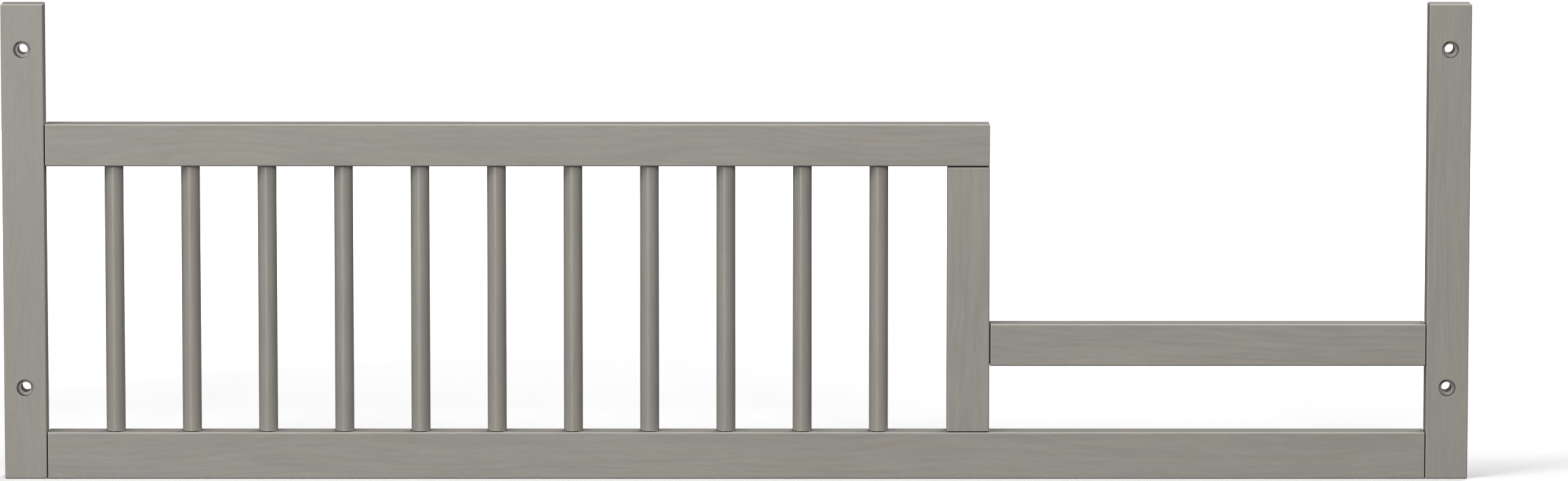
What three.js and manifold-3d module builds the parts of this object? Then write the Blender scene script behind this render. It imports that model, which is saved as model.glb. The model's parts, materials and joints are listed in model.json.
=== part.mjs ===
// Front rail of a toddler bed: the piece that closes the open side of a full-size crib and
// leaves a gap for the child to climb in. Two posts bolt to the crib's corner posts. Between
// them run a full-length bottom rail, a guard rail on round spindles over two thirds of the
// length, and a low rail under the entry gap. Every piece is solid wood, glued with dowels.
//
// Millimetres, +Z up. X runs along the rail, Y from its front face to its back face.
// The origin is on the floor, under the middle of the rail.

import * as THREE from 'three';
import { mergeVertices } from 'three/addons/utils/BufferGeometryUtils.js';
import { RoundedBoxGeometry } from 'three/addons/geometries/RoundedBoxGeometry.js';
import Module from 'manifold-3d';

// Overall size
const LENGTH = 1390;
const HEIGHT = 452.5;
const THICKNESS = 28;

// Bars: widths of the upright ones, heights of the level ones
const POST_WIDTH = 40;
const BOTTOM_RAIL_HEIGHT = 44.5;
const TOP_RAIL_HEIGHT = 40;
const LOW_RAIL_HEIGHT = 40;
const EDGE_RADIUS = 1.4;
const EDGE_SEGMENTS = 2;

// Where the bars lie
const SPINDLE_OPENING_HEIGHT = 254;
const LOW_RAIL_UNDERSIDE = 108;

// Spindles
const SPINDLE_COUNT = 11;
const SPINDLE_RADIUS = 9;
const SPINDLE_PITCH = 72.53;
const SPINDLE_TO_BAR = 65;
const SPINDLE_SOCKET_DEPTH = 12;
const SPINDLE_SIDES = 24;

// Bolt holes through the two posts: a counterbore for the bolt head and a clear bore
const BOLT_HEIGHTS = { lower: 87, upper: 409.3 };
const HEAD_RADIUS = 8;
const HEAD_DEPTH = 8.5;
const BORE_RADIUS = 4.75;
const RIM_EASING = 0.5;
const BOLT_HOLE_SIDES = 28;

// Dowels: two across every joint between two bars
const DOWEL_RADIUS = 4;
const DOWEL_LENGTH = 40;
const DOWEL_SPACING = 20;
const DOWEL_CHAMFER = 0.8;
const DOWEL_SIDES = 12;

// Glue line between two bars, and the clearance of a pin or spindle in its hole
const JOINT_GAP = 0.3;
// How far a cutting tool starts outside the face that it cuts
const CUTTER_OVERSHOOT = 1;

const LEFT = -LENGTH / 2;
const RIGHT = LENGTH / 2;
const INNER_LEFT = LEFT + POST_WIDTH;
const INNER_RIGHT = RIGHT - POST_WIDTH;
const SPINDLE_FIRST_X = INNER_LEFT + SPINDLE_TO_BAR;
const MID_POST_LEFT = SPINDLE_FIRST_X + (SPINDLE_COUNT - 1) * SPINDLE_PITCH + SPINDLE_TO_BAR;
const MID_POST_RIGHT = MID_POST_LEFT + POST_WIDTH;
const TOP_RAIL_UNDERSIDE = BOTTOM_RAIL_HEIGHT + SPINDLE_OPENING_HEIGHT;
const TOP_RAIL_TOP = TOP_RAIL_UNDERSIDE + TOP_RAIL_HEIGHT;
const LOW_RAIL_TOP = LOW_RAIL_UNDERSIDE + LOW_RAIL_HEIGHT;
const FRONT = -THICKNESS / 2;

const X_AXIS = new THREE.Vector3(1, 0, 0);
const Y_AXIS = new THREE.Vector3(0, 1, 0);
const Z_AXIS = new THREE.Vector3(0, 0, 1);

const materials = {
  bar: { color: '#9b9790', roughness: 0.5, metalness: 0 },
  spindle: { color: '#97938c', roughness: 0.5, metalness: 0 },
  dowel: { color: '#cfae84', roughness: 0.75, metalness: 0 },
};

const wasm = await Module();
wasm.setup();

// ---- Solids ----

function positionsOnly(geometry) {
  geometry.deleteAttribute('normal');
  geometry.deleteAttribute('uv');
  return mergeVertices(geometry);
}

function toSolid(geometry) {
  const merged = positionsOnly(geometry);
  return new wasm.Manifold(new wasm.Mesh({
    numProp: 3,
    vertProperties: new Float32Array(merged.attributes.position.array),
    triVerts: new Uint32Array(merged.index.array),
  }));
}

function toGeometry(solid) {
  const mesh = solid.getMesh();
  const geometry = new THREE.BufferGeometry();
  geometry.setAttribute('position', new THREE.BufferAttribute(mesh.vertProperties, mesh.numProp));
  geometry.setIndex(new THREE.BufferAttribute(mesh.triVerts, 1));
  const faceted = geometry.toNonIndexed();
  faceted.computeVertexNormals();
  return faceted;
}

function cut(geometry, cutters) {
  let solid = toSolid(geometry);
  for (const cutter of cutters) {
    solid = solid.subtract(toSolid(cutter));
  }
  return toGeometry(solid);
}

// A solid of revolution about Y, from [radius, distance along Y] points, turned so that it
// runs along the given direction from the given start
function turned(profile, sides, start, direction) {
  const points = profile.map(([radius, along]) => new THREE.Vector2(radius, along));
  const geometry = new THREE.LatheGeometry(points, sides);
  geometry.applyQuaternion(new THREE.Quaternion().setFromUnitVectors(Y_AXIS, direction));
  return geometry.translate(start.x, start.y, start.z);
}

// ---- Round pieces and the holes they go in ----

function pinProfile(radius, length, chamfer) {
  return [
    [0, 0],
    [radius - chamfer, 0],
    [radius, chamfer],
    [radius, length - chamfer],
    [radius - chamfer, length],
    [0, length],
  ];
}

// A blind hole both ways from a joint's plane, or one way from a bar's face
function roundHole(radius, length, sides, start, direction) {
  return turned([[0, 0], [radius, 0], [radius, length], [0, length]], sides, start, direction);
}

function boltHole(x, z) {
  const headRim = HEAD_RADIUS + RIM_EASING + CUTTER_OVERSHOOT;
  const boreRim = BORE_RADIUS + RIM_EASING + CUTTER_OVERSHOOT;
  const profile = [
    [0, -CUTTER_OVERSHOOT],
    [headRim, -CUTTER_OVERSHOOT],
    [HEAD_RADIUS, RIM_EASING],
    [HEAD_RADIUS, HEAD_DEPTH],
    [BORE_RADIUS, HEAD_DEPTH],
    [BORE_RADIUS, THICKNESS - RIM_EASING],
    [boreRim, THICKNESS + CUTTER_OVERSHOOT],
    [0, THICKNESS + CUTTER_OVERSHOOT],
  ];
  return turned(profile, BOLT_HOLE_SIDES, new THREE.Vector3(x, FRONT, z), Y_AXIS);
}

// ---- Bars: name, extent and the holes in each ----

function bar(left, right, bottom, top) {
  return { left, right, bottom, top, cutters: [] };
}

const bars = {
  left_post: bar(LEFT, INNER_LEFT, 0, HEIGHT),
  right_post: bar(INNER_RIGHT, RIGHT, 0, HEIGHT),
  bottom_rail: bar(INNER_LEFT + JOINT_GAP, INNER_RIGHT - JOINT_GAP, 0, BOTTOM_RAIL_HEIGHT),
  top_rail: bar(INNER_LEFT + JOINT_GAP, MID_POST_RIGHT, TOP_RAIL_UNDERSIDE, TOP_RAIL_TOP),
  low_rail: bar(MID_POST_RIGHT + JOINT_GAP, INNER_RIGHT - JOINT_GAP, LOW_RAIL_UNDERSIDE, LOW_RAIL_TOP),
  mid_post: bar(
    MID_POST_LEFT,
    MID_POST_RIGHT,
    BOTTOM_RAIL_HEIGHT + JOINT_GAP,
    TOP_RAIL_UNDERSIDE - JOINT_GAP,
  ),
};

for (const post of ['left_post', 'right_post']) {
  const middle = (bars[post].left + bars[post].right) / 2;
  for (const height of Object.values(BOLT_HEIGHTS)) {
    bars[post].cutters.push(boltHole(middle, height));
  }
}

// ---- Spindles, each in a socket in the bottom rail and one in the top rail ----

const spindleSpan = SPINDLE_OPENING_HEIGHT + 2 * SPINDLE_SOCKET_DEPTH;
const spindles = [];
for (let index = 0; index < SPINDLE_COUNT; index += 1) {
  const x = SPINDLE_FIRST_X + index * SPINDLE_PITCH;
  const foot = new THREE.Vector3(x, 0, BOTTOM_RAIL_HEIGHT - SPINDLE_SOCKET_DEPTH);
  spindles.push({ name: `spindle_${String(index + 1).padStart(2, '0')}`, foot });

  const socketFoot = foot.clone().addScaledVector(Z_AXIS, -JOINT_GAP);
  const socketRadius = SPINDLE_RADIUS + JOINT_GAP;
  const socketSpan = spindleSpan + 2 * JOINT_GAP;
  const sockets = () => roundHole(socketRadius, socketSpan, SPINDLE_SIDES, socketFoot, Z_AXIS);
  bars.bottom_rail.cutters.push(sockets());
  bars.top_rail.cutters.push(sockets());
}

// ---- Dowels: pairs that cross the joint plane between two bars ----

function barMiddle({ left, right, bottom, top }) {
  return new THREE.Vector3((left + right) / 2, 0, (bottom + top) / 2);
}

// A rail butts against an upright: the dowels run along X, one above the other
function railJoint(rail, upright, planeX) {
  const centre = barMiddle(bars[rail]).setX(planeX);
  return { rail, upright, centre, direction: X_AXIS, spread: Z_AXIS, labels: ['lower', 'upper'] };
}

// The middle post stands between two rails: the dowels run along Z, side by side
function uprightJoint(upright, rail, planeZ) {
  const centre = barMiddle(bars[upright]).setZ(planeZ);
  return { rail, upright, centre, direction: Z_AXIS, spread: X_AXIS, labels: ['left', 'right'] };
}

const joints = [
  railJoint('top_rail', 'left_post', INNER_LEFT),
  railJoint('bottom_rail', 'left_post', INNER_LEFT),
  railJoint('bottom_rail', 'right_post', INNER_RIGHT),
  railJoint('low_rail', 'right_post', INNER_RIGHT),
  railJoint('low_rail', 'mid_post', MID_POST_RIGHT),
  uprightJoint('mid_post', 'top_rail', TOP_RAIL_UNDERSIDE),
  uprightJoint('mid_post', 'bottom_rail', BOTTOM_RAIL_HEIGHT),
];

const dowels = [];
for (const { rail, upright, centre, direction, spread, labels } of joints) {
  labels.forEach((label, index) => {
    const offset = (index - 0.5) * DOWEL_SPACING;
    const start = centre.clone()
      .addScaledVector(spread, offset)
      .addScaledVector(direction, -DOWEL_LENGTH / 2);
    dowels.push({ name: `dowel_${rail}_${upright}_${label}`, start, direction });

    const holeStart = start.clone().addScaledVector(direction, -CUTTER_OVERSHOOT);
    const holeLength = DOWEL_LENGTH + 2 * CUTTER_OVERSHOOT;
    const holeRadius = DOWEL_RADIUS + JOINT_GAP;
    for (const name of [rail, upright]) {
      bars[name].cutters.push(roundHole(holeRadius, holeLength, DOWEL_SIDES, holeStart, direction));
    }
  });
}

// ---- Scene graph ----

function pieceMesh(name, geometry, material) {
  const mesh = new THREE.Mesh(geometry, new THREE.MeshStandardMaterial(material));
  mesh.name = name;
  return mesh;
}

function barMesh(name) {
  const { left, right, bottom, top, cutters } = bars[name];
  const middle = barMiddle(bars[name]);
  const blank = new RoundedBoxGeometry(right - left, THICKNESS, top - bottom, EDGE_SEGMENTS, EDGE_RADIUS);
  for (const cutter of cutters) {
    cutter.translate(-middle.x, -middle.y, -middle.z);
  }
  const mesh = pieceMesh(name, cut(blank, cutters), materials.bar);
  mesh.position.copy(middle);
  return mesh;
}

function pinMesh({ name, start, direction }, profile, sides, material) {
  const geometry = turned(profile, sides, new THREE.Vector3(), direction);
  const mesh = pieceMesh(name, geometry, material);
  mesh.position.copy(start);
  return mesh;
}

const frame = new THREE.Group();
for (const name of Object.keys(bars)) {
  frame.add(barMesh(name));
}

const spindleRow = new THREE.Group();
for (const { name, foot } of spindles) {
  const profile = pinProfile(SPINDLE_RADIUS, spindleSpan, DOWEL_CHAMFER);
  spindleRow.add(pinMesh({ name, start: foot, direction: Z_AXIS }, profile, SPINDLE_SIDES, materials.spindle));
}

const dowelPins = new THREE.Group();
for (const dowel of dowels) {
  const profile = pinProfile(DOWEL_RADIUS, DOWEL_LENGTH, DOWEL_CHAMFER);
  dowelPins.add(pinMesh(dowel, profile, DOWEL_SIDES, materials.dowel));
}

const bedRail = new THREE.Group();
bedRail.add(frame, spindleRow, dowelPins);

export default bedRail;
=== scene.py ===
"""The front rail of a toddler bed in grey-stained wood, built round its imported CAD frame."""
import json
import math

import bmesh
import bpy
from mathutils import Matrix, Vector


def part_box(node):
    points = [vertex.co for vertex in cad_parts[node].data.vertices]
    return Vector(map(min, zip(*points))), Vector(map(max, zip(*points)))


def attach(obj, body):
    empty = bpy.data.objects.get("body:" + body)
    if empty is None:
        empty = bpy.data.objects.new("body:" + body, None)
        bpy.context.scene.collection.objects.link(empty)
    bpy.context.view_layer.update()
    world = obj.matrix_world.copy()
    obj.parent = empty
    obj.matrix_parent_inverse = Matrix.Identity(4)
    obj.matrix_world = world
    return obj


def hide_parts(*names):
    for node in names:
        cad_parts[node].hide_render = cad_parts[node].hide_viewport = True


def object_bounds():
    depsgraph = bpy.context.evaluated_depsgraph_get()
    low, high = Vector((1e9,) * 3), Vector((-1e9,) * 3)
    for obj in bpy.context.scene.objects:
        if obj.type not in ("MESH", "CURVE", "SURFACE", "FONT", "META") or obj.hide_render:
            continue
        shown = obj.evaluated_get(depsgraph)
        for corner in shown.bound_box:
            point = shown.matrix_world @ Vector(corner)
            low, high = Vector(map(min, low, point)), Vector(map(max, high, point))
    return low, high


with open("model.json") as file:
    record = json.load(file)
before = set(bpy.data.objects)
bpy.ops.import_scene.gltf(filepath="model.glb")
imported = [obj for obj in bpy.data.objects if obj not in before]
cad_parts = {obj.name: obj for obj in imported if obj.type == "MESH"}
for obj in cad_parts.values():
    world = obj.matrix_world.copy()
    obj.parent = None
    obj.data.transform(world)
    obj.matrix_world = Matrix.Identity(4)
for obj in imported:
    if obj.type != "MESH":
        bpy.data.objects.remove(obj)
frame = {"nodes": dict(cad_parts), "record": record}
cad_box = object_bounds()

MM = 0.001
BODY = "root"

# ---- What the CAD holds, read from the frame ----

# Each bar's grain runs along this axis of the row frame
BARS = {
    "left_post": 2,
    "right_post": 2,
    "mid_post": 2,
    "bottom_rail": 0,
    "top_rail": 0,
    "low_rail": 0,
}
SPINDLES = sorted(node for node in frame["nodes"] if node.startswith("spindle_"))
DOWELS = sorted(node for node in frame["nodes"] if node.startswith("dowel_"))

# ---- Sizes of the fine shapes ----

EDGE_RADIUS = 1.4 * MM
EDGE_SEGMENTS = 6
CUTTER_OVERSHOOT = 1.0 * MM
CLEARANCE = 0.3 * MM

HEAD_RADIUS = 8.0 * MM
HEAD_DEPTH = 8.5 * MM
BORE_RADIUS = 4.75 * MM
RIM_RADIUS = 0.5 * MM
RIM_SEGMENTS = 4
HOLE_SEGMENTS = 72
WALL_TOLERANCE = 0.02 * MM

SPINDLE_SEGMENTS = 72
COLLAR_RADIUS = 0.75 * MM
COLLAR_SEGMENTS = 6
COLLAR_LIP = 0.5 * MM
PIN_CHAMFER = 0.8 * MM

FLUTE_COUNT = 20
FLUTE_DEPTH = 0.22 * MM
FLUTE_POINTS = 4

SHARP_ANGLE = math.radians(32)
QUARTER = math.pi / 2

# ---- Where painted shade darkens the wood, and where wear and a painted highlight lighten it ----

# Painted shade darkens a joint's groove, between these shares of the way round the eased edge
GROOVE_START = 0.30
GROOVE_END = 0.50
# Less painted shade darkens the lower edges and the walls of the bolt holes
UNDERSIDE_SHADE = 0.55
HEAD_WALL_SHADE = 0.75
BORE_WALL_SHADE = 0.35
# How wide the painted shade is in a bolt hole's corners and round a spindle's ends
HOLE_SHADE_WIDTH = 0.4 * MM
COLLAR_SHADE_WIDTH = 0.35 * MM

# Wear and a painted highlight lighten the eased edges: most along the top, lightly at the sides,
# and at a bar's end just before the joint's groove
SIDE_WEAR_HIGHLIGHT = 0.30
JOINT_HIGHLIGHT = 0.90
JOINT_HIGHLIGHT_FULL = 0.25
# How quickly a bar end's wear and painted highlight fade round the edge toward its lower side
JOINT_HIGHLIGHT_FADE = 2


# ---- Mesh helpers ----

def new_object(name, bm):
    mesh = bpy.data.meshes.new(name)
    bm.to_mesh(mesh)
    bm.free()
    piece = bpy.data.objects.new(name, mesh)
    bpy.context.scene.collection.objects.link(piece)
    return piece


def rounded_bar(low, high):
    """A box with every edge and corner eased."""
    bm = bmesh.new()
    bmesh.ops.create_cube(bm, size=1.0)
    size = high - low
    for vert in bm.verts:
        vert.co = Vector(low[i] + (vert.co[i] + 0.5) * size[i] for i in range(3))
    bmesh.ops.bevel(
        bm,
        geom=bm.edges[:] + bm.verts[:],
        offset=EDGE_RADIUS,
        offset_type="OFFSET",
        segments=EDGE_SEGMENTS,
        profile=0.5,
        affect="EDGES",
    )
    return bm


def ring_place(axis, centre, radius, angle, along):
    """A point on a circle about a row axis: `along` that axis from the centre."""
    point = Vector(centre)
    point[axis] += along
    point[(axis + 1) % 3] += radius * math.cos(angle)
    point[(axis + 2) % 3] += radius * math.sin(angle)
    return point


def turned(bm, profile, segments, axis, centre, shape=None):
    """Adds a solid of revolution. The profile is [(radius, distance along the axis)], and its
    first and last points lie on the axis. `shape` scales the radius by angle."""
    rings = []
    for radius, along in profile:
        if radius == 0:
            rings.append([bm.verts.new(ring_place(axis, centre, 0, 0, along))])
            continue
        ring = []
        for step in range(segments):
            angle = math.tau * step / segments
            reach = shape(radius, angle) if shape else radius
            ring.append(bm.verts.new(ring_place(axis, centre, reach, angle, along)))
        rings.append(ring)
    for lower, upper in zip(rings, rings[1:]):
        for step in range(segments):
            after = (step + 1) % segments
            corners = [lower[step % len(lower)], lower[after % len(lower)]]
            corners += [upper[after % len(upper)], upper[step % len(upper)]]
            bm.faces.new(list(dict.fromkeys(corners)))


def cut(piece, cutter):
    """Takes the cutter's volume out of the piece and removes the cutter."""
    modifier = piece.modifiers.new("cut", "BOOLEAN")
    modifier.operation = "DIFFERENCE"
    modifier.solver = "EXACT"
    modifier.object = cutter
    depsgraph = bpy.context.evaluated_depsgraph_get()
    result = bpy.data.meshes.new_from_object(piece.evaluated_get(depsgraph))
    piece.modifiers.clear()
    piece.data = result
    bpy.data.objects.remove(cutter)


def finish_shading(piece):
    """Smooth over the eased edges, flat on the faces between them."""
    mesh = piece.data
    mesh.shade_smooth()
    mesh.set_sharp_from_angle(angle=SHARP_ANGLE)
    modifier = piece.modifiers.new("normals", "WEIGHTED_NORMAL")
    modifier.keep_sharp = True
    modifier.weight = 100


def mark(piece, name, value_at):
    """Stores a number at each point of the mesh, for the material to read."""
    mesh = piece.data
    layer = mesh.attributes.new(name, "FLOAT", "POINT")
    layer.data.foreach_set("value", [value_at(vert.co) for vert in mesh.vertices])


# ---- Materials ----

class Tree:
    """Builds a node tree one node at a time."""

    def __init__(self, tree):
        self.nodes = tree.nodes
        self.links = tree.links
        self.nodes.clear()

    def add(self, kind, inputs=None, **settings):
        node = self.nodes.new(kind)
        for key, value in settings.items():
            setattr(node, key, value)
        for key, value in (inputs or {}).items():
            if isinstance(value, bpy.types.NodeSocket):
                self.links.new(value, node.inputs[key])
            else:
                node.inputs[key].default_value = value
        return node

    def math(self, operation, first, second):
        node = self.add("ShaderNodeMath", {0: first, 1: second}, operation=operation)
        return node.outputs[0]

    def spread(self, value, low, high):
        """Maps a 0 to 1 pattern onto low to high."""
        inputs = {"Value": value, "To Min": low, "To Max": high}
        return self.add("ShaderNodeMapRange", inputs).outputs["Result"]

    def band(self, value, start, end):
        """0 below start and 1 above end, with a soft step between."""
        inputs = {"Value": value, "From Min": start, "From Max": end}
        node = self.add("ShaderNodeMapRange", inputs, interpolation_type="SMOOTHSTEP")
        return node.outputs["Result"]

    def blend(self, factor, first, second, mode="MIX"):
        node = self.add("ShaderNodeMix", data_type="RGBA", blend_type=mode)
        for index, value in ((0, factor), (6, first), (7, second)):
            if isinstance(value, bpy.types.NodeSocket):
                self.links.new(value, node.inputs[index])
            else:
                node.inputs[index].default_value = value
        return node.outputs[2]


def grain_scale(axis, along, across):
    """A Mapping scale that stretches a pattern along the grain."""
    scale = [across, across, across]
    scale[axis] = along
    return scale


def srgb(red, green, blue):
    """A colour given in 8-bit screen values, as a shader's linear one."""
    def channel(value):
        value /= 255
        return value / 12.92 if value <= 0.04045 else ((value + 0.055) / 1.055) ** 2.4
    return (channel(red), channel(green), channel(blue), 1.0)


WOOD = {
    "light": srgb(153, 149, 143),
    "dark": srgb(138, 134, 127),
    "warm": srgb(151, 147, 134),
    "cool": srgb(145, 141, 137),
    "pore": srgb(118, 113, 105),
    # The last two colours are a pale cream for wear and a painted highlight on the eased edges,
    # and a near-black painted shade
    "worn_highlight": srgb(212, 208, 200),
    "painted_shade": srgb(22, 20, 18),
}
BEECH = {
    "light": srgb(214, 178, 134),
    "dark": srgb(190, 150, 106),
    "warm": srgb(208, 164, 120),
    "cool": srgb(204, 170, 124),
    "pore": srgb(150, 108, 70),
    # As above, the last two colours are wear with a painted highlight, and painted shade
    "worn_highlight": srgb(222, 190, 150),
    "painted_shade": srgb(140, 100, 64),
}

# How often each pattern repeats per metre, along the grain and across it
WANDER_SCALE = (2.8, 10.0)
FIBRE_SCALE = (24.0, 760.0)
PATCH_SCALE = (15.0, 140.0)
BROAD_SCALE = (1.9, 30.0)
HUE_SCALE = (11.0, 120.0)
FLECK_SCALE = (75.0, 1700.0)
RING_SCALE = 82.0
# How far the wandering moves the grain, in metres for a full swing of its pattern
GRAIN_SWAY = 0.034
# Each piece's patterns start at a place of their own: SEED_START plus its seed times SEED_STEP
SEED_STEP = (0.37, 0.73, 0.53)
SEED_START = (0.11, 0.29, 0.41)

# How much each pattern adds to the tone, and how strongly tone, hue, fibres and pores show. A
# smaller reach gives a stronger contrast.
RING_WEIGHT = 0.14
PATCH_WEIGHT = 0.54
BROAD_WEIGHT = 0.32
TONE_REACH = 0.20
HUE_REACH = 0.16
TINT_SHARE = 0.45
FIBRE_CONTRAST = 0.09
PORE_START = 0.60
PORE_END = 0.72
PORE_SHARE = 0.30
WORN_HIGHLIGHT_LEAST = 0.50
WORN_HIGHLIGHT_MOST = 0.95

# Gloss and relief
BAR_ROUGHNESS = 0.46
SPINDLE_ROUGHNESS = 0.31
DOWEL_ROUGHNESS = 0.62
FIBRE_GLOSS = 0.04
BROAD_GLOSS = 0.02
PORE_ROUGHNESS = 0.10
WORN_POLISH = 0.16
FIBRE_HEIGHT = 0.55
RING_HEIGHT = 0.15
PORE_DEPTH = 0.5
BUMP_STRENGTH = 0.22
BUMP_DISTANCE = 0.00012
WOOD_IOR = 1.47


def wood(name, axis, seed, colours, roughness, pith, figure=1.0):
    """Wood whose growth rings run about a pith line parallel to one axis. The pith's offset
    from the piece decides whether a face shows straight lines or long arches, and figure how
    strongly its grain stands out."""
    material = bpy.data.materials.new(name)
    material.use_nodes = True
    tree = Tree(material.node_tree)
    place = tree.add("ShaderNodeTexCoord").outputs["Object"]
    shift = [step * seed + start for step, start in zip(SEED_STEP, SEED_START)]

    def stretched(source, repeats, offset=0.0):
        along, across = repeats
        inputs = {
            "Vector": source,
            "Location": [value * across + offset for value in shift],
            "Scale": grain_scale(axis, along, across),
        }
        return tree.add("ShaderNodeMapping", inputs).outputs["Vector"]

    def noise(vector, detail, rough, distortion=0.0):
        inputs = {
            "Vector": vector,
            "Scale": 1.0,
            "Detail": detail,
            "Roughness": rough,
            "Distortion": distortion,
        }
        return tree.add("ShaderNodeTexNoise", inputs).outputs["Fac"]

    # The grain wanders slowly along the piece, so its lines rise and fall
    wander = tree.add("ShaderNodeTexNoise", {
        "Vector": stretched(place, WANDER_SCALE),
        "Scale": 1.0,
        "Detail": 2.0,
        "Roughness": 0.45,
    }).outputs["Color"]
    middle = (0.5, 0.5, 0.5)
    swing = tree.add("ShaderNodeVectorMath", {0: wander, 1: middle}, operation="SUBTRACT")
    sway = tree.add(
        "ShaderNodeVectorMath",
        {0: swing.outputs["Vector"], "Scale": GRAIN_SWAY},
        operation="SCALE",
    )
    sway = sway.outputs["Vector"]
    bent = tree.add("ShaderNodeVectorMath", {0: place, 1: sway}, operation="ADD").outputs["Vector"]
    centred = tree.add("ShaderNodeVectorMath", {0: bent, 1: pith}, operation="SUBTRACT")
    rings = tree.add(
        "ShaderNodeTexWave",
        {
            "Vector": centred.outputs["Vector"],
            "Scale": RING_SCALE,
            "Distortion": 2.2,
            "Detail": 2.0,
            "Detail Scale": 0.35,
            "Detail Roughness": 0.55,
        },
        wave_type="RINGS",
        rings_direction="XYZ"[axis],
        wave_profile="SAW",
    ).outputs["Fac"]

    fibres = noise(stretched(bent, FIBRE_SCALE), detail=3.0, rough=0.58)
    patch_place = stretched(bent, PATCH_SCALE, offset=3.0)
    patches = noise(patch_place, detail=3.0, rough=0.55, distortion=0.3)
    broad_place = stretched(bent, BROAD_SCALE, offset=3.0)
    broad = noise(broad_place, detail=2.0, rough=0.5, distortion=0.3)
    hue = noise(stretched(bent, HUE_SCALE, offset=7.0), detail=3.0, rough=0.55)
    flecks = noise(stretched(bent, FLECK_SCALE, offset=5.0), detail=2.0, rough=0.5)

    # Colour: rings, patches and broad tone, then hue, fine fibres and open pores
    tone = tree.math("MULTIPLY", rings, RING_WEIGHT)
    tone = tree.math("ADD", tone, tree.math("MULTIPLY", patches, PATCH_WEIGHT))
    tone = tree.math("ADD", tone, tree.math("MULTIPLY", broad, BROAD_WEIGHT))
    tone_reach = TONE_REACH / figure
    tone = tree.band(tone, 0.5 - tone_reach, 0.5 + tone_reach)
    base = tree.blend(tone, colours["dark"], colours["light"])
    hue_reach = HUE_REACH / figure
    warmth = tree.band(hue, 0.5 - hue_reach, 0.5 + hue_reach)
    tint = tree.blend(warmth, colours["cool"], colours["warm"])
    base = tree.blend(TINT_SHARE, base, tint)
    contrast = FIBRE_CONTRAST * figure
    fibre_factor = tree.spread(fibres, 1 - contrast, 1 + contrast)
    fibrous = tree.add("ShaderNodeVectorMath", {0: base, "Scale": fibre_factor}, operation="SCALE")
    pores = tree.band(flecks, PORE_START, PORE_END)
    pore_share = tree.math("MULTIPLY", pores, PORE_SHARE)
    colour = tree.blend(pore_share, fibrous.outputs["Vector"], colours["pore"])

    # Wear and a painted highlight lighten the eased edges, and painted shade darkens where two
    # pieces meet, the lower edges and the holes
    worn_highlight = tree.add("ShaderNodeAttribute", attribute_name="wear_and_highlight").outputs["Fac"]
    worn_highlight_share = tree.math("MULTIPLY", worn_highlight, tree.spread(fibres, WORN_HIGHLIGHT_LEAST, WORN_HIGHLIGHT_MOST))
    colour = tree.blend(worn_highlight_share, colour, colours["worn_highlight"])
    # Painted shade: near-black in joint grooves, on lower edges, in bolt holes and round the
    # spindles' ends
    painted_shade = tree.add("ShaderNodeAttribute", attribute_name="painted_shade").outputs["Fac"]
    colour = tree.blend(painted_shade, colour, colours["painted_shade"])

    # Handling has burnished the eased edges smoother than the faces
    fibre_gloss = tree.spread(fibres, -FIBRE_GLOSS, FIBRE_GLOSS)
    broad_gloss = tree.spread(broad, -BROAD_GLOSS, BROAD_GLOSS)
    rough = tree.math("ADD", tree.math("ADD", fibre_gloss, broad_gloss), roughness)
    rough = tree.math("ADD", rough, tree.math("MULTIPLY", pores, PORE_ROUGHNESS))
    rough = tree.math("SUBTRACT", rough, tree.math("MULTIPLY", worn_highlight, WORN_POLISH))

    fibre_height = tree.math("MULTIPLY", fibres, FIBRE_HEIGHT)
    ring_height = tree.math("MULTIPLY", rings, RING_HEIGHT)
    height = tree.math("ADD", fibre_height, ring_height)
    height = tree.math("SUBTRACT", height, tree.math("MULTIPLY", pores, PORE_DEPTH))
    bump = tree.add("ShaderNodeBump", {
        "Height": height,
        "Strength": BUMP_STRENGTH,
        "Distance": BUMP_DISTANCE,
    })

    shader = tree.add("ShaderNodeBsdfPrincipled", {
        "Base Color": colour,
        "Roughness": rough,
        "Normal": bump.outputs["Normal"],
        "IOR": WOOD_IOR,
    })
    tree.add("ShaderNodeOutputMaterial", {"Surface": shader.outputs[0]})
    return material


# ---- Pieces ----

# How far the pith of the tree lies from a spindle's and a dowel's middle line, and how far it
# turns about the piece from one spindle to the next, in radians
SPINDLE_PITH_DISTANCE = 0.055
DOWEL_PITH_OFFSET = 0.04
SPINDLE_TURN = 2.4


def settle(piece, nodes, material):
    """Shading, finish and the link to the CAD that a finished piece needs."""
    piece.data.materials.clear()
    piece.data.materials.append(material)
    finish_shading(piece)
    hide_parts(*nodes)
    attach(piece, BODY)


def pin_box(node):
    """The axis that a pin or spindle runs along, its middle line's start, length and radius."""
    low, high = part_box(node)
    size = high - low
    axis = max(range(3), key=lambda i: size[i])
    start = (low + high) / 2
    start[axis] = low[axis]
    radius = max(size[i] for i in range(3) if i != axis) / 2
    return axis, start, size[axis], radius


def bolt_centres():
    """Where the bolts go through the posts: x and z of each hole."""
    centres = []
    for opening in frame["record"]["physics"]["openings"]:
        if opening["name"].endswith("_bolt_bore"):
            low, high = opening["box_m"]
            centres.append(((low[0] + high[0]) / 2, (low[2] + high[2]) / 2))
    return centres


def arc(centre_radius, centre_along, radius, start, end, steps):
    """Profile points round an arc, as (radius, along) pairs. Angle 0 points away from the
    axis and a quarter turn points up it."""
    points = []
    for step in range(steps + 1):
        angle = start + (end - start) * step / steps
        points.append((
            centre_radius + radius * math.cos(angle),
            centre_along + radius * math.sin(angle),
        ))
    return points


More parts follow.
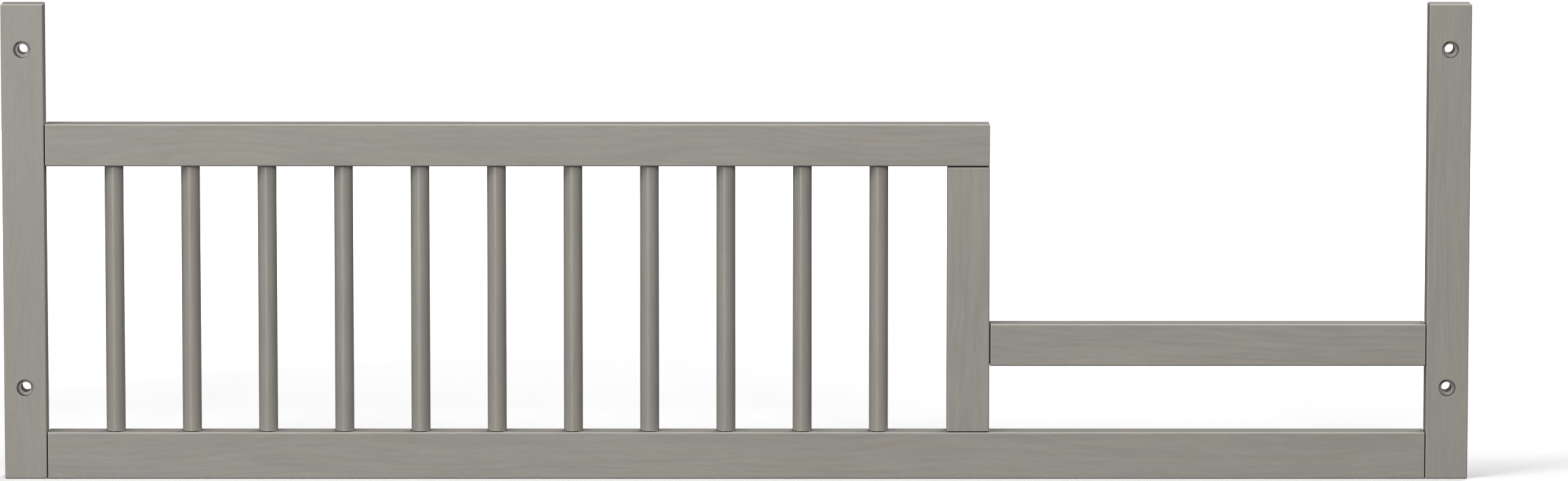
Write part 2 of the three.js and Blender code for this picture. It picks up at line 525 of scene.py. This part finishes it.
def add_bolt_hole(bm, x, z, front, back):
    """A counterbore and a clear bore, with the rims eased, as a volume to cut away."""
    depth = back - front
    head_out = HEAD_RADIUS + RIM_RADIUS
    bore_out = BORE_RADIUS + RIM_RADIUS
    head_rim = arc(head_out, RIM_RADIUS, RIM_RADIUS, -QUARTER, -2 * QUARTER, RIM_SEGMENTS)
    back_rim = arc(bore_out, depth - RIM_RADIUS, RIM_RADIUS, 2 * QUARTER, QUARTER, RIM_SEGMENTS)
    profile = [(0, -CUTTER_OVERSHOOT), (head_out, -CUTTER_OVERSHOOT)]
    profile += head_rim
    # The extra rings on the counterbore's floor make the walls' painted shade fade out over a
    # narrow band
    profile += [(HEAD_RADIUS, HEAD_DEPTH), (HEAD_RADIUS - HOLE_SHADE_WIDTH, HEAD_DEPTH)]
    profile += [(BORE_RADIUS + HOLE_SHADE_WIDTH, HEAD_DEPTH), (BORE_RADIUS, HEAD_DEPTH)]
    profile += back_rim
    profile += [(bore_out, depth + CUTTER_OVERSHOOT), (0, depth + CUTTER_OVERSHOOT)]
    turned(bm, profile, HOLE_SEGMENTS, 1, Vector((x, front, z)))


def add_pin_hole(bm, node, segments):
    """The hole that a dowel or a spindle's end sits in, as a volume to cut away."""
    axis, start, length, radius = pin_box(node)
    start[axis] -= CLEARANCE
    reach = radius + CLEARANCE
    end = length + 2 * CLEARANCE
    turned(bm, [(0, 0), (reach, 0), (reach, end), (0, end)], segments, axis, start)


def joined_ends(node):
    """Which ends of a bar butt against a neighbour: (low end, high end)."""
    low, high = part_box(node)
    axis = BARS[node]
    joined = [False, False]
    for other in BARS:
        other_low, other_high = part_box(other)
        crosses = all(
            other_low[i] < high[i] and low[i] < other_high[i] for i in range(3) if i != axis
        )
        if other == node or not crosses:
            continue
        joined[0] = joined[0] or 0 < low[axis] - other_high[axis] < 2 * CLEARANCE
        joined[1] = joined[1] or 0 < other_low[axis] - high[axis] < 2 * CLEARANCE
    return joined


def edge_roundness(point, low, high):
    """0 on a flat face and 1 half way round an eased edge, with the offset that decides it."""
    inner = Vector(
        min(max(point[i], low[i] + EDGE_RADIUS), high[i] - EDGE_RADIUS) for i in range(3)
    )
    offset = (point - inner) / EDGE_RADIUS
    steepest = max(abs(value) for value in offset)
    half_way = 1 - 1 / math.sqrt(2)
    return clamped((1 - steepest) / half_way), offset


def clamped(value):
    return min(1.0, max(0.0, value))


def hole_shade(point):
    """How much painted shade darkens a point on the wall of a bolt hole."""
    for x, z in bolt_centres():
        away = math.hypot(point.x - x, point.z - z)
        if abs(away - HEAD_RADIUS) < WALL_TOLERANCE:
            return HEAD_WALL_SHADE
        if abs(away - BORE_RADIUS) < WALL_TOLERANCE:
            return BORE_WALL_SHADE
    return 0.0


def build_bar(node, seed, pith_offset, figure):
    """A bar with eased edges, its bolt holes, and the holes for its dowels and spindles."""
    low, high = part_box(node)
    axis = BARS[node]
    piece = new_object(f"{node}_wood", rounded_bar(low, high))
    holes = bmesh.new()
    for x, z in bolt_centres():
        if low.x < x < high.x:
            add_bolt_hole(holes, x, z, low.y, high.y)
    for dowel in DOWELS:
        if node in dowel:
            add_pin_hole(holes, dowel, HOLE_SEGMENTS // 3)
    if node in ("bottom_rail", "top_rail"):
        for spindle in SPINDLES:
            add_pin_hole(holes, spindle, HOLE_SEGMENTS)
    cut(piece, new_object(f"{node}_holes", holes))

    joined = joined_ends(node)

    def toward_joint(offset):
        """How far an eased end has turned to face its neighbour: 0 to 1."""
        depth = 0.0
        if joined[0]:
            depth = max(depth, -offset[axis])
        if joined[1]:
            depth = max(depth, offset[axis])
        return depth

    # Wear and a painted highlight: brightest along top edges and on a bar's end just before a
    # joint
    def wear_and_highlight_at(point):
        roundness, offset = edge_roundness(point, low, high)
        rubbed_highlight = roundness * clamped(SIDE_WEAR_HIGHLIGHT + offset.z)
        end = JOINT_HIGHLIGHT * clamped(toward_joint(offset) / JOINT_HIGHLIGHT_FULL)
        return max(rubbed_highlight, end * clamped(1 + JOINT_HIGHLIGHT_FADE * offset.z))

    # Painted shade in a joint's groove, on the lower eased edges and on the bolt holes' walls
    def painted_shade_at(point):
        roundness, offset = edge_roundness(point, low, high)
        groove = clamped((toward_joint(offset) - GROOVE_START) / (GROOVE_END - GROOVE_START))
        return max(
            groove,
            UNDERSIDE_SHADE * roundness * clamped(-offset.z),
            hole_shade(point),
        )

    mark(piece, "wear_and_highlight", wear_and_highlight_at)
    mark(piece, "painted_shade", painted_shade_at)
    middle = (low + high) / 2
    pith = [middle[i] + pith_offset[i] for i in range(3)]
    material = wood(f"{node}_stain", axis, seed, WOOD, BAR_ROUGHNESS, pith, figure)
    settle(piece, [node], material)


def spindle_profile(length, radius, foot, head):
    """A rod with a bead of finish where it leaves each rail. foot and head are the distances
    from its lower end to the faces of the two rails."""
    out = radius + COLLAR_RADIUS
    rise = COLLAR_LIP + COLLAR_RADIUS
    lower = arc(out, foot + rise, COLLAR_RADIUS, -QUARTER, -2 * QUARTER, COLLAR_SEGMENTS)
    upper = arc(out, head - rise, COLLAR_RADIUS, 2 * QUARTER, QUARTER, COLLAR_SEGMENTS)
    chamfered = radius - PIN_CHAMFER
    profile = [(0, 0), (chamfered, 0), (radius, PIN_CHAMFER), (radius, foot)]
    profile += [(out - COLLAR_LIP, foot)]
    profile += lower + upper
    profile += [(out - COLLAR_LIP, head), (radius, head)]
    profile += [(radius, length - PIN_CHAMFER), (chamfered, length), (0, length)]
    return profile


def build_spindle(node, seed, foot_z, head_z):
    """A turned upright. foot_z and head_z are the heights of the rail faces it stands between."""
    axis, start, length, radius = pin_box(node)
    foot = foot_z - start.z
    head = head_z - start.z
    bm = bmesh.new()
    turned(bm, spindle_profile(length, radius, foot, head), SPINDLE_SEGMENTS, axis, start)
    piece = new_object(f"{node}_wood", bm)

    # Painted shade: a dark ring at the spindle's foot and head, where it meets the rails
    def painted_shade_at(point):
        gap = min(abs(point.z - foot_z), abs(point.z - head_z))
        return clamped((COLLAR_LIP + COLLAR_SHADE_WIDTH - gap) / COLLAR_SHADE_WIDTH)

    mark(piece, "wear_and_highlight", lambda point: 0.0)
    mark(piece, "painted_shade", painted_shade_at)
    turn = SPINDLE_TURN * seed
    pith = [
        start.x + SPINDLE_PITH_DISTANCE * math.cos(turn),
        start.y + SPINDLE_PITH_DISTANCE * math.sin(turn),
        0.0,
    ]
    material = wood(f"{node}_stain", axis, seed, WOOD, SPINDLE_ROUGHNESS, pith)
    settle(piece, [node], material)


def build_dowel(node, seed):
    """A fluted pin of bare beech."""
    axis, start, length, radius = pin_box(node)

    def fluted(reach, angle):
        share = 0.5 + 0.5 * math.cos(FLUTE_COUNT * angle)
        return reach - FLUTE_DEPTH * share ** 2

    chamfered = radius - PIN_CHAMFER
    profile = [(0, 0), (chamfered, 0), (radius, PIN_CHAMFER)]
    profile += [(radius, length - PIN_CHAMFER), (chamfered, length), (0, length)]
    bm = bmesh.new()
    turned(bm, profile, FLUTE_COUNT * FLUTE_POINTS, axis, start, fluted)
    piece = new_object(f"{node}_pin", bm)
    mark(piece, "wear_and_highlight", lambda point: 0.0)
    mark(piece, "painted_shade", lambda point: 0.0)
    pith = [start[i] + DOWEL_PITH_OFFSET for i in range(3)]
    material = wood(f"{node}_beech", axis, seed, BEECH, DOWEL_ROUGHNESS, pith)
    settle(piece, [node], material)


# How far each bar's pith lies from its middle, in metres, which sets how its growth rings cross
# a face
PITH_OFFSETS = {
    "left_post": (0.045, 0.030, 0.0),
    "right_post": (-0.050, 0.034, 0.0),
    "mid_post": (0.028, 0.040, 0.0),
    "bottom_rail": (0.0, 0.042, 0.033),
    "top_rail": (0.0, 0.036, -0.030),
    "low_rail": (0.0, 0.030, 0.029),
}
# How strongly each bar's grain stands out
FIGURES = {
    "left_post": 0.65,
    "right_post": 1.0,
    "mid_post": 1.1,
    "bottom_rail": 1.0,
    "top_rail": 1.0,
    "low_rail": 1.1,
}
FIRST_BAR_SEED = 1
FIRST_SPINDLE_SEED = 11
FIRST_DOWEL_SEED = 31

for order, bar in enumerate(BARS):
    build_bar(bar, FIRST_BAR_SEED + order, PITH_OFFSETS[bar], FIGURES[bar])

foot_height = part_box("bottom_rail")[1].z
head_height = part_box("top_rail")[0].z
for order, spindle in enumerate(SPINDLES):
    build_spindle(spindle, FIRST_SPINDLE_SEED + order, foot_height, head_height)

for order, dowel in enumerate(DOWELS):
    build_dowel(dowel, FIRST_DOWEL_SEED + order)


# ---- Stage ----

FLOOR_RADIUS = 3.4
FLOOR_SEGMENTS = 96
FLOOR_DROP = 0.1 * MM
FLOOR_SHADE = 0.86

# The floor's own glow rises from FLOOR_GLOW to full white between these distances
FLOOR_GLOW = 0.14
NEAR_FLOOR = 0.9
FAR_FLOOR = 2.2

# The surround's brightness straight down and straight up
AMBIENT_BELOW = 0.08
AMBIENT_ABOVE = 0.16

middle_point = (cad_box[0] + cad_box[1]) / 2


def build_floor():
    """A pale disc that fades into the bright surround. It takes shadows but sends no light back
    up, so the rail's undersides stay dark."""
    bm = bmesh.new()
    height = cad_box[0].z - FLOOR_DROP
    ring = []
    for step in range(FLOOR_SEGMENTS):
        angle = math.tau * step / FLOOR_SEGMENTS
        corner = (FLOOR_RADIUS * math.cos(angle), FLOOR_RADIUS * math.sin(angle), height)
        ring.append(bm.verts.new(corner))
    bm.faces.new(ring)
    floor = new_object("studio_floor", bm)
    material = bpy.data.materials.new("studio_floor")
    material.use_nodes = True
    tree = Tree(material.node_tree)
    place = tree.add("ShaderNodeTexCoord").outputs["Object"]
    far = tree.add("ShaderNodeVectorMath", {0: place}, operation="LENGTH").outputs["Value"]
    inputs = {
        "Value": far,
        "From Min": NEAR_FLOOR,
        "From Max": FAR_FLOOR,
        "To Min": FLOOR_GLOW,
        "To Max": 1.0,
    }
    glow = tree.add("ShaderNodeMapRange", inputs).outputs["Result"]
    shader = tree.add("ShaderNodeBsdfPrincipled", {
        "Base Color": (FLOOR_SHADE, FLOOR_SHADE, FLOOR_SHADE, 1.0),
        "Roughness": 1.0,
        "Specular IOR Level": 0.0,
        "Emission Color": (1.0, 1.0, 1.0, 1.0),
        "Emission Strength": glow,
    })
    tree.add("ShaderNodeOutputMaterial", {"Surface": shader.outputs[0]})
    floor.data.materials.append(material)
    floor.visible_diffuse = False
    floor.visible_glossy = False


def soft_light(name, place, width, height, radiance):
    """A rectangular softbox, set by how bright its face is. The camera never sees it directly."""
    data = bpy.data.lights.new(name, "AREA")
    data.shape = "RECTANGLE"
    data.size = width
    data.size_y = height
    data.energy = radiance * math.pi * width * height
    light = bpy.data.objects.new(name, data)
    light.location = place
    aim = middle_point - Vector(place)
    light.rotation_euler = aim.to_track_quat("-Z", "Y").to_euler()
    light.visible_camera = False
    bpy.context.scene.collection.objects.link(light)


def build_world():
    """A surround that lights the rail dimly, least from below, and looks white to the camera."""
    world = bpy.data.worlds.new("studio")
    world.use_nodes = True
    bpy.context.scene.world = world
    tree = Tree(world.node_tree)
    direction = tree.add("ShaderNodeTexCoord").outputs["Generated"]
    height = tree.add("ShaderNodeSeparateXYZ", {"Vector": direction}).outputs["Z"]
    inputs = {
        "Value": height,
        "From Min": -1.0,
        "From Max": 1.0,
        "To Min": AMBIENT_BELOW,
        "To Max": AMBIENT_ABOVE,
    }
    strength = tree.add("ShaderNodeMapRange", inputs).outputs["Result"]
    lit = tree.add("ShaderNodeBackground", {"Color": (1, 1, 1, 1), "Strength": strength})
    seen = tree.add("ShaderNodeBackground", {"Color": (1, 1, 1, 1), "Strength": 1.0})
    direct = tree.add("ShaderNodeLightPath").outputs["Is Camera Ray"]
    both = tree.add("ShaderNodeMixShader", {0: direct, 1: lit.outputs[0], 2: seen.outputs[0]})
    tree.add("ShaderNodeOutputWorld", {"Surface": both.outputs[0]})


build_floor()
build_world()
soft_light("strip", (-2.1, -6.2, 0.65), width=0.6, height=1.2, radiance=54.0)
soft_light("front_panel", (1.1, -5.0, 2.6), width=2.0, height=1.8, radiance=11.2)
soft_light("key_panel", (-3.6, -3.15, 4.95), width=2.7, height=2.7, radiance=9.2)
soft_light("top_panel", (-1.6, -0.43, 4.75), width=1.9, height=1.9, radiance=2.6)
soft_light("back_panel", (1.7, 2.95, 3.6), width=1.9, height=1.9, radiance=9.1)

# ---- Camera ----

# The camera stands square to the rail's middle, above it and looking down a little through a
# long lens. The sideways shift puts the rail's left end at the edge of the frame.
CAMERA_DISTANCE = 7.5
CAMERA_HEIGHT = 1.096
FOCAL_LENGTH = 182.96
AIM_HEIGHT = 0.2280
SIDEWAYS_SHIFT = 0.0305
SENSOR_WIDTH = 36.0
CLIP_END = 200.0


def build_camera():
    data = bpy.data.cameras.new("camera")
    data.sensor_width = SENSOR_WIDTH
    data.lens = FOCAL_LENGTH
    data.shift_x = SIDEWAYS_SHIFT
    data.clip_end = CLIP_END
    camera = bpy.data.objects.new("camera", data)
    front = cad_box[0].y
    camera.location = (middle_point.x, front - CAMERA_DISTANCE, CAMERA_HEIGHT)
    aim = Vector((middle_point.x, front, AIM_HEIGHT)) - camera.location
    camera.rotation_euler = aim.to_track_quat("-Z", "Y").to_euler()
    bpy.context.scene.collection.objects.link(camera)
    bpy.context.scene.camera = camera


build_camera()
bpy.context.scene.view_settings.view_transform = "Standard"
